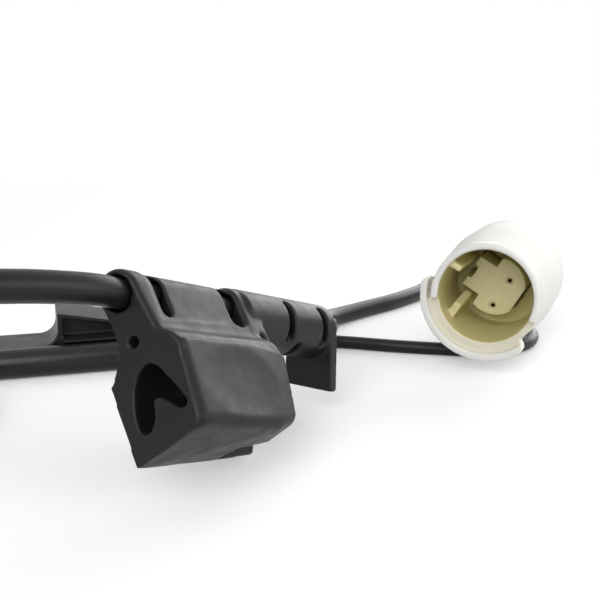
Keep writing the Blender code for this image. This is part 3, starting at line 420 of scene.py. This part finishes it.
def moved(shape, place=(0.0, 0.0, 0.0), turn=None):
    matrix = Matrix.Translation(Vector(place) * MM)
    if turn:
        matrix = matrix @ Matrix.Rotation(math.radians(turn[0]), 4, turn[1])
    bmesh.ops.transform(shape, matrix=matrix, verts=shape.verts)
    return shape


def rounded(points, radius, steps=5):
    """An outline with its corners rounded."""
    found = []
    count = len(points)
    for i in range(count):
        before, corner, after = (Vector(points[(i + k) % count]) for k in (-1, 0, 1))
        one = before - corner
        two = after - corner
        reach = min(radius, 0.45 * one.length, 0.45 * two.length)
        start = corner + one.normalized() * reach
        end = corner + two.normalized() * reach
        for k in range(steps + 1):
            t = k / steps
            found.append(tuple((1 - t) ** 2 * start + 2 * t * (1 - t) * corner + t**2 * end))
    return found


def mesh_of(name, shape):
    """The shape's mesh, its faces turned outwards."""
    bmesh.ops.recalc_face_normals(shape, faces=shape.faces)
    mesh = bpy.data.meshes.new(name)
    shape.to_mesh(mesh)
    shape.free()
    return mesh


class Body:
    """A piece put together from shapes by joins and cuts in its own frame."""

    def __init__(self, name, shape):
        self.name = name
        self.tools = []
        self.made = placed(name, mesh_of(name, shape))

    def combine(self, shape, operation):
        name = self.name + "_tool"
        tool = placed(name, mesh_of(name, shape))
        self.tools.append(tool)
        step = self.made.modifiers.new("step", "BOOLEAN")
        step.operation = operation
        step.solver = "EXACT"
        step.object = tool

    def join(self, shape):
        self.combine(shape, "UNION")

    def cut(self, shape):
        self.combine(shape, "DIFFERENCE")

    def finish(self, matrix, look, slot, node, voxel, rounds, shape_it=None, others=(), chosen=None):
        """Softens the edges, puts the piece in place and gives it its look, and other looks where chosen."""
        grid = self.made.modifiers.new("grid", "REMESH")
        grid.mode = "VOXEL"
        grid.voxel_size = voxel * MM
        soft = self.made.modifiers.new("soft", "SMOOTH")
        soft.factor = 0.5
        soft.iterations = rounds
        graph = bpy.context.evaluated_depsgraph_get()
        mesh = bpy.data.meshes.new_from_object(self.made.evaluated_get(graph))
        for used in [self.made] + self.tools:
            bpy.data.objects.remove(used, do_unlink=True)
        if shape_it:
            for vertex in mesh.vertices:
                vertex.co = shape_it(vertex.co / MM) * MM
        mesh.materials.clear()
        mesh.materials.append(look)
        for other in others:
            mesh.materials.append(other)
        if chosen:
            for face in mesh.polygons:
                face.material_index = chosen(face.center / MM)
        mesh.transform(matrix)
        mesh.shade_smooth()
        return dressed(placed(self.name, mesh), slot, node)


# Holder, in its own frame: X along the tube, outlines as (across, up) seen from the block's face
HOLDER_END = 43.0
BLOCK_END = 22.5
TUBE_CENTRE = (0.58, -0.93)
TUBE_RADIUS = 4.2
BLOCK_TOP = -8.5
BLOCK_END_SLANT = 0.2
BLOCK_END_CORNER = 1.7
SNAP = [(-0.6, -8.8), (-2.4, -9.3), (-3.8, -10.7), (-4.8, -13.0), (-5.1, -15.0), (-4.5, -16.1), (-3.4, -15.9),
        (-2.4, -14.9), (-2.1, -13.8), (-1.6, -12.8), (-0.7, -13.1), (0.2, -14.1), (1.2, -15.4), (2.0, -15.9),
        (2.6, -15.4), (2.3, -14.1), (1.7, -12.7), (1.0, -11.0), (0.4, -9.6)]
END_TAB = [(-4.2, 1.4), (-8.6, -5.6), (-1.75, -11.1), (2.6, -3.5), (1.2, 0.5)]
FOOT_NOTCH = [(-6.9, -20.4), (-6.6, -18.2), (-4.95, -16.3), (-3.1, -17.5), (-2.9, -20.4)]
FOOT_NOTCH_START = 14.4
NECK_END = 20.0
NECK_RADIUS = 2.95
NECK_BASE = -9.6
NECK_LEAN = 0.17
PANEL_OUT = -4.6
LEAD_BORE = 2.15
RIDGE_PROUD = -0.1
FAR_TOP_CUT = [(13.5, -8.3), (23.0, -8.3), (23.0, -9.9), (13.5, -8.5)]
UNDER_SLOT = ((32.5, 33.8), (-0.9, 3.2), (-7.0, -3.9))
PANEL_DEPTH = 0.25
DISH_PLACE = (9.6, -13.6)
DISH_REACH = (8.2, 4.9)
DISH_DEPTH = 0.3

# Windows over the lead: place along the tube, width, top and bottom
WINDOWS = [(2.9, 1.8, 1.9, -4.3), (16.8, 2.6, 2.1, -4.5), (30.0, 1.6, 0.8, -5.2), (39.2, 1.6, 0.8, -5.9)]

# Rings of the neck: place along it, how far it is drawn in, and how far it leans
NECK_RINGS = [
    (0.0, 0.5, NECK_LEAN), (0.2, 0.22, NECK_LEAN), (0.5, 0.05, NECK_LEAN), (0.9, 0.0, NECK_LEAN),
    (NECK_END - 1.7, 0.0, 0.0), (NECK_END - 1.5, RIDGE_PROUD, 0.0), (NECK_END - 0.2, RIDGE_PROUD, 0.0),
    (NECK_END, 0.0, 0.0),
]


def seen_from_face(points):
    return [(-across, up) for across, up in points]


def block_section(right_top, right_low, low, left_low):
    """The block's outline with a rounded lower right edge."""
    foot = arc((right_low - 1.5, low + 1.5), 1.5, -90.0, 4.0, 7)
    return [(-6.95, BLOCK_TOP), (-7.35, left_low), *foot, (right_top, BLOCK_TOP)]


def neck_section(inset):
    """The neck's outline: a round crown, a flat side and a flare on to the block."""
    radius = NECK_RADIUS - inset
    crown = arc((0.0, 0.0), radius, 0.0, 180.0, 16)
    left = [(-radius, -3.0), (-radius - 0.4, -4.85), (-4.2, -6.4), (-5.1, -7.5), (-6.5, -8.6),
            (-6.6, NECK_BASE)]
    right = [(4.75 - 0.4 * inset, NECK_BASE), (4.7 - 0.5 * inset, -8.5), (4.3 - 0.6 * inset, -7.5),
             (radius + 0.25, -6.3), (radius, -5.6)]
    return crown + left + right


def build_holder():
    near = block_section(4.4, 3.2, -18.5, -18.8)
    body = block_section(4.95, 3.9, -18.6, -18.8)
    middle = block_section(4.95, 3.9, -19.3, -18.4)
    far = block_section(4.95, 3.9, -18.6, -18.0)
    rings = [[(x, -a, u) for a, u in section] for x, section in ((0.0, near), (0.8, body), (15.5, middle))]
    end = []
    for a, u in far:
        cut_back = BLOCK_END_CORNER + max(0.0, (BLOCK_TOP - u) * BLOCK_END_SLANT) if a > 0 else 0.0
        end.append((BLOCK_END - cut_back, -a, u))
    rings.append(end)
    holder = Body("lead_holder", skin(rings))
    holder.cut(prism_y(FAR_TOP_CUT, -8.0, 8.0))
    neck = []
    for x, inset, lean in NECK_RINGS:
        neck.append([(x - lean * (u - NECK_BASE), -a, u) for a, u in neck_section(inset)])
    holder.join(skin(neck))
    start = NECK_END - 0.55
    tube = [(start, 0.0), (start, TUBE_RADIUS - 0.5), (start + 0.5, TUBE_RADIUS),
            (HOLDER_END - 1.0, TUBE_RADIUS), (HOLDER_END - 0.35, TUBE_RADIUS - 0.3),
            (HOLDER_END, TUBE_RADIUS - 0.9), (HOLDER_END, 0.0)]
    holder.join(moved(lathe(tube), (0.0, *TUBE_CENTRE)))
    holder.join(box((NECK_END - 0.9, NECK_END + 1.9), (-3.05, 3.55), (-10.1, -1.0)))
    holder.join(prism_x(seen_from_face(rounded(END_TAB, 0.4)), HOLDER_END - 1.9, HOLDER_END - 0.2))
    inner = NECK_RADIUS - PANEL_DEPTH
    over = seen_from_face(arc((0.0, 0.0), inner, 115.0, 0.0, 16))
    back = seen_from_face(arc((0.0, 0.0), -PANEL_OUT, 0.0, 115.0, 16))
    panel = []
    for x, low in ((1.1, -4.95), (18.4, -4.2)):
        panel.append([(x, y, u) for y, u in over + [(-inner, low), (PANEL_OUT, low)] + back])
    holder.cut(skin(panel))
    holder.cut(prism_x(seen_from_face(rounded(SNAP, 0.35, 2)), -1.0, BLOCK_END + 1.0))
    holder.cut(prism_x(seen_from_face(FOOT_NOTCH), FOOT_NOTCH_START, BLOCK_END + 1.0))
    holder.cut(moved(cylinder_x(-3.0, 2.6, 0.7), (0.0, 0.95, -5.9)))
    for place, width, high, low in WINDOWS:
        half = width / 2
        upper = arc((place, high - half), half, 0.0, 180.0, 10)
        lower = arc((place, low + half), half, 180.0, 360.0, 10)
        holder.cut(prism_y(upper + lower, -6.0, -0.9))
    holder.cut(box(*UNDER_SLOT))
    holder.cut(moved(cylinder_x(-0.6, 2.0, 0.55), (NECK_END + 0.5, -3.4, -5.9), (90.0, "Z")))
    holder.cut(cylinder_x(-4.0, HOLDER_END + 1.0, LEAD_BORE))

    def dish(point):
        """Presses a shallow dish into the block's face."""
        t = (point.x - DISH_PLACE[0]) / DISH_REACH[0]
        u = (point.z - DISH_PLACE[1]) / DISH_REACH[1]
        reach = 1.0 - t * t - u * u
        if reach > 0.0 and point.y < -3.3:
            point.y += DISH_DEPTH * reach * reach * (3 - 2 * reach)
        return point

    holder.finish(HOLDER_FRAME, black_plastic, "black_plastic", "holder_body", 0.22, 11, dish)


# Guide clip, in the sleeve's frame moved along it and down to the table
CLIP_ALONG = 23.4 * MM
SLEEVE_HIGH = 2.6 * MM
CLIP_PLACE = SLEEVE_FRAME @ Vector((CLIP_ALONG, 0.0, -SLEEVE_HIGH))
CLIP_FRAME = Matrix.Translation(CLIP_PLACE) @ SLEEVE_TURN.to_matrix().to_4x4()


def build_clip():
    fillet = arc((-12.0, 7.5), 3.0, 0.0, -90.0, 12)
    outline = [(-26.0, 0.0), (9.0, 0.0), (9.0, 6.9), (-9.0, 10.3), *fillet, (-26.0, 4.5)]
    clip = Body("lead_clip", prism_y(outline, 2.9, 14.0))
    clip.join(box((-8.2, 8.2), (1.2, 4.0), (0.4, 5.9)))
    clip.cut(moved(cylinder_x(-10.5, 10.5, 2.9), (0.0, 0.0, 2.6)))
    recess = rounded([(-8.1, 5.7), (8.2, 5.7), (8.2, 6.35), (-8.1, 9.35)], 0.3)
    clip.cut(prism_y(recess, 0.0, 5.3))
    clip.finish(CLIP_FRAME, black_plastic, "black_plastic", "guide_clip", 0.2, 6)


def build_sleeve():
    profile = [(0.0, 2.15), (0.0, 2.3), (0.12, 2.5), (0.4, 2.6), (31.5, 2.6), (33.0, 2.52), (35.7, 2.4),
               (36.0, 2.25), (36.0, 1.55), (15.5, 1.55), (15.5, 0.7), (14.3, 0.7), (14.3, 2.15)]
    mesh = mesh_of("lead_sleeve", lathe(profile))
    mesh.transform(SLEEVE_FRAME)
    mesh.materials.append(black_rubber)
    mesh.shade_smooth()
    mesh.set_sharp_from_angle(angle=math.radians(60.0))
    return dressed(placed("lead_sleeve", mesh), "black_rubber", "junction_sleeve")


# Plug housing, in the connector's frame: X from the mouth to the back, angles seen from the mouth
SOCKET = 8.27
MOUTH_OUT = 9.37
CONTACTS = (-2.2, 3.4)
CONTACT_HIGH = -1.55
CONTACT_HALF = 0.36
RIB_END = 18.7
CARRIER_CLEAR = 0.3


def polar(radius, angle):
    a = math.radians(angle)
    return (-radius * math.cos(a), radius * math.sin(a))


def sector(inner, outer, angle_from, angle_to, start, end, corner=0.0, steps=48):
    """A piece of ring wall, the outer corners of its two ends rounded when it has a corner size."""
    rings = []
    for i in range(steps + 1):
        share = i / steps
        angle = angle_from + (angle_to - angle_from) * share
        reach = min(share, 1 - share) * math.radians(abs(angle_to - angle_from)) * outer
        cut_back = 0.0
        if corner and reach < corner:
            cut_back = corner - math.sqrt(max(0.0, corner**2 - (corner - reach) ** 2))
        far = outer - cut_back
        rings.append([(start, *polar(inner, angle)), (start, *polar(far, angle)), (end, *polar(far, angle)),
                      (end, *polar(inner, angle))])
    return skin(rings)


def build_housing():
    profile = [(0.0, SOCKET + 0.2), (0.0, MOUTH_OUT - 0.25), (0.12, MOUTH_OUT - 0.06),
               (0.35, MOUTH_OUT + 0.02), (14.0, 10.45), (15.0, 10.5), (26.4, 10.5), (27.6, 10.35),
               (32.7, 9.2), (33.0, 9.0), (33.0, 7.6), (20.0, 7.6), (20.0, 0.0), (17.5, 0.0),
               (17.5, SOCKET), (0.2, SOCKET)]
    housing = Body("plug_housing", lathe(profile, 144))
    housing.join(sector(MOUTH_OUT - 0.7, 11.4, 105.8, 250.5, 0.0, 3.4, 1.1, 72))
    housing.cut(sector(SOCKET - 1.0, 10.2, 126.0, 275.5, -1.0, 1.4))
    housing.cut(sector(MOUTH_OUT + 0.12, 10.2, 101.8, 127.0, -1.0, 4.6))
    wall = SOCKET + 0.44
    top = [(-2.0, SOCKET - 2.2), (-0.9, SOCKET - 2.2), (-0.9, wall - 0.2), (-2.0, wall - 0.2)]
    housing.join(prism_x(rounded(top, 0.3, 3), 1.0, RIB_END))
    side = [(5.0, wall - 1.0), (5.0, SOCKET - 3.36), (11.0, SOCKET - 4.62), (RIB_END, SOCKET - 4.62),
            (RIB_END, wall - 1.0)]
    housing.join(skin([[(x, y, 2.75) for x, y in side], [(x, y, 4.15) for x, y in side]]))
    housing.cut(prism_x(carrier_outline(CARRIER_CLEAR), 16.5, 21.0))

    def socket_side(point):
        """The look that a place on the housing has: 0 outside, 1 in the socket, 2 on the mouth's ledge.
        Socket and ledge get darker, yellower copies of the nylon: painted shade.
        """
        radius = math.hypot(point.y, point.z)
        if 0.55 < point.x < 20.5 and radius < SOCKET + 0.16:
            return 1
        return 2 if 0.9 < point.x < 1.7 and radius < 10.3 else 0

    housing.finish(CONNECTOR_FRAME, nylon, "natural_nylon", "connector_housing", 0.24, 3,
                   others=(socket_painted_shade, ledge_painted_shade), chosen=socket_side)


def carrier_outline(grow=0.0):
    """The carrier's outline: a round body with a flat, a neck and two lugs."""
    radius, neck, shoulder, top, flat = (value + grow for value in (5.4, 3.1, 1.7, 5.3, 4.7))
    notch = 1.25 - grow
    notch_low = 4.5 + grow
    high = math.degrees(math.asin(shoulder / radius))
    low = math.degrees(math.asin(flat / radius))
    lugs = [(neck, shoulder), (neck, top), (notch, top), (notch, notch_low), (-notch, notch_low),
            (-notch, top), (-neck, top), (-neck, shoulder)]
    right_side = arc((0.0, 0.0), radius, -low, high, 16)
    left_side = arc((0.0, 0.0), radius, 180.0 - high, 180.0 + low, 16)
    return seen_from_face(right_side + lugs + left_side)


def build_carrier():
    carrier = Body("plug_carrier", prism_x(carrier_outline(), 11.0, 21.9))
    carrier.join(cylinder_x(20.3, 23.5, 7.3))
    funnel = [(10.8, 0.0), (10.8, 1.05), (11.15, 0.7), (11.6, 0.35), (11.6, 0.0)]
    for y in CONTACTS:
        place = (0.0, y, CONTACT_HIGH)
        carrier.cut(moved(cylinder_x(12.0, 24.5, 1.15), place))
        half = (-CONTACT_HALF, CONTACT_HALF)
        carrier.cut(moved(box((10.0, 13.0), half, half), place))
        carrier.cut(moved(lathe(funnel, 48), place))
    carrier.finish(CONNECTOR_FRAME, carrier_painted_shade, "carrier_nylon", "contact_carrier", 0.14, 2)


build_holder()
build_clip()
sleeve = build_sleeve()
build_housing()
build_carrier()

# Small pieces: the solids' own forms with rounded edges
FLAT_ANGLE = 1.2
WELD_DISTANCE = 0.004 * MM


def cleaned(node):
    """A copy of a node's mesh with its triangles joined back into flat faces."""
    shape = bmesh.new()
    shape.from_mesh(bpy.data.objects[node].data)
    bmesh.ops.remove_doubles(shape, verts=shape.verts, dist=WELD_DISTANCE)
    flat = math.radians(FLAT_ANGLE)
    bmesh.ops.dissolve_limit(shape, angle_limit=flat, verts=shape.verts, edges=shape.edges)
    return shape


def softened(node, name, look, slot, width, segments=2, angle=34.0):
    """The node's form with its moulded edges rounded, by a width in millimetres."""
    shape = cleaned(node)
    mesh = bpy.data.meshes.new(name)
    mesh.materials.append(look)
    shape.to_mesh(mesh)
    shape.free()
    mesh.shade_smooth()
    made = placed(name, mesh)
    bevel = made.modifiers.new("edge", "BEVEL")
    bevel.width = width * MM
    bevel.segments = segments
    bevel.limit_method = "ANGLE"
    bevel.angle_limit = math.radians(angle)
    bevel.harden_normals = True
    bevel.use_clamp_overlap = True
    bevel.miter_outer = "MITER_ARC"
    return dressed(made, slot, node)


softened("rear_cap", "plug_rear_cap", nylon, "natural_nylon", 0.2)
softened("terminal_1", "contact_1", copper_alloy, "terminal_brass", 0.06)
softened("terminal_2", "contact_2", copper_alloy, "terminal_brass", 0.06)
softened("wire_seal", "plug_seal", seal_rubber, "seal_rubber", 0.1)
softened("connector_boot", "plug_boot", black_rubber, "black_rubber", 0.15)
tie = softened("coil_tie", "tie_band", black_rubber, "black_rubber", 0.15)
softened("head_body", "sensor_head", black_plastic, "black_plastic", 0.2, 3)
softened("wear_tongue", "wear_tongue_piece", tongue_look, "wear_tongue", 0.2, 3)
softened("head_spring_clip", "spring_clip", spring_steel, "spring_steel", 0.08)
LOOKS = {"core_wire_1": core_look, "core_wire_2": core_look, "sensing_loop": loop_copper}
for node, look in LOOKS.items():
    for slot in bpy.data.objects[node].material_slots:
        slot.material = look

# Floor and world: viewing rays see white, and the rays that light the object see a plain level
WHITE = (1.0, 1.0, 1.0, 1.0)
FLOOR_HALF = 4.0
FLOOR_DROP = 0.02 * MM
FLOOR_NEAR = 0.16
FLOOR_FAR = 0.4
FLOOR_GLOW = 0.22
FLOOR_TONES = ((0.50, 0.50, 0.50), (0.53, 0.53, 0.53))
WORLD_FILL = 0.36


def white_source(tree, kind, strength):
    """A white emission or background of that strength."""
    node = tree.nodes.new(kind)
    node.inputs["Color"].default_value = WHITE
    node.inputs["Strength"].default_value = strength
    return node.outputs[0]


def mixed(tree, share, first, second):
    """The first shader, and the second one by its share."""
    node = tree.nodes.new("ShaderNodeMixShader")
    tree.links.new(share, node.inputs["Fac"])
    tree.links.new(first, node.inputs[1])
    tree.links.new(second, node.inputs[2])
    return node.outputs["Shader"]


def viewing_rays(tree):
    """1 for camera, glossy and transmission rays, and 0 for all others."""
    rays = tree.nodes.new("ShaderNodeLightPath")
    total = rays.outputs["Is Camera Ray"]
    for kind in ("Is Glossy Ray", "Is Transmission Ray"):
        added = tree.nodes.new("ShaderNodeMath")
        added.operation = "ADD"
        added.use_clamp = True
        tree.links.new(total, added.inputs[0])
        tree.links.new(rays.outputs[kind], added.inputs[1])
        total = added.outputs["Value"]
    return total


floor_look = Nodes("floor_look")
floor_color = floor_look.ramp(floor_look.noise(6.0, 2.0), list(zip(TONE_STOPS, FLOOR_TONES)))
floor_rough = floor_look.spread(floor_look.noise(40.0), 0.9, 1.0)
floor_look.finish(floor_color, floor_rough, floor_look.bump(floor_look.noise(400.0), 0.05, 0.0001))
floor_look.set(Specular_IOR_Level=0.0)
pale = floor_look.add("ShaderNodeBsdfDiffuse")
pale.inputs["Color"].default_value = WHITE
near_floor = floor_look.add("ShaderNodeAddShader")
floor_look.link(pale.outputs["BSDF"], near_floor.inputs[0])
floor_look.link(white_source(floor_look.tree, "ShaderNodeEmission", FLOOR_GLOW), near_floor.inputs[1])
reach = floor_look.add("ShaderNodeVectorMath", operation="LENGTH")
floor_look.link(floor_look.place, reach.inputs[0])
fade = floor_look.spread(reach.outputs["Value"], 0.0, 1.0, FLOOR_NEAR, FLOOR_FAR)
far_floor = white_source(floor_look.tree, "ShaderNodeEmission", 1.0)
seen_floor = mixed(floor_look.tree, fade, near_floor.outputs["Shader"], far_floor)
floor_rays = viewing_rays(floor_look.tree)
floor_shader = mixed(floor_look.tree, floor_rays, floor_look.shader.outputs["BSDF"], seen_floor)
floor_look.link(floor_shader, floor_look.tree.nodes["Material Output"].inputs["Surface"])
floor_corners = [(x * FLOOR_HALF, y * FLOOR_HALF, 0) for x, y in ((-1, -1), (1, -1), (1, 1), (-1, 1))]
floor_mesh = bpy.data.meshes.new("floor")
floor_mesh.from_pydata(floor_corners, [], [(0, 1, 2, 3)])
floor_mesh.materials.append(floor_look.material)
floor = placed("floor", floor_mesh)
floor.location.z = -FLOOR_DROP

world = bpy.data.worlds.new("world")
bpy.context.scene.world = world
world.use_nodes = True
world_tree = world.node_tree
world_tree.nodes.clear()
world_fill = white_source(world_tree, "ShaderNodeBackground", WORLD_FILL)
world_seen = white_source(world_tree, "ShaderNodeBackground", 1.0)
world_output = world_tree.nodes.new("ShaderNodeOutputWorld")
world_tree.links.new(mixed(world_tree, viewing_rays(world_tree), world_fill, world_seen),
                     world_output.inputs["Surface"])

# Lamps: name, place, what it is aimed at, width, height and power
LAMPS = [
    ("side_light", (0.45, -0.28, 0.16), (-0.02, -0.09, 0.01), 0.4, 0.4, 1.3),
    ("right_light", (0.26, 0.38, 0.24), (-0.06, -0.12, 0.02), 0.55, 0.40, 2.1),
    ("front_light", (-0.25, -0.75, 0.40), (-0.05, -0.12, 0.02), 0.5, 0.5, 3.2),
]

for name, place, target, width, height, power in LAMPS:
    lamp_data = bpy.data.lights.new(name, "AREA")
    lamp_data.shape = "RECTANGLE"
    lamp_data.size = width
    lamp_data.size_y = height
    lamp_data.energy = power
    lamp = placed(name, lamp_data)
    lamp.location = place
    lamp.rotation_euler = (Vector(target) - Vector(place)).to_track_quat("-Z", "Y").to_euler()
    lamp.visible_camera = False
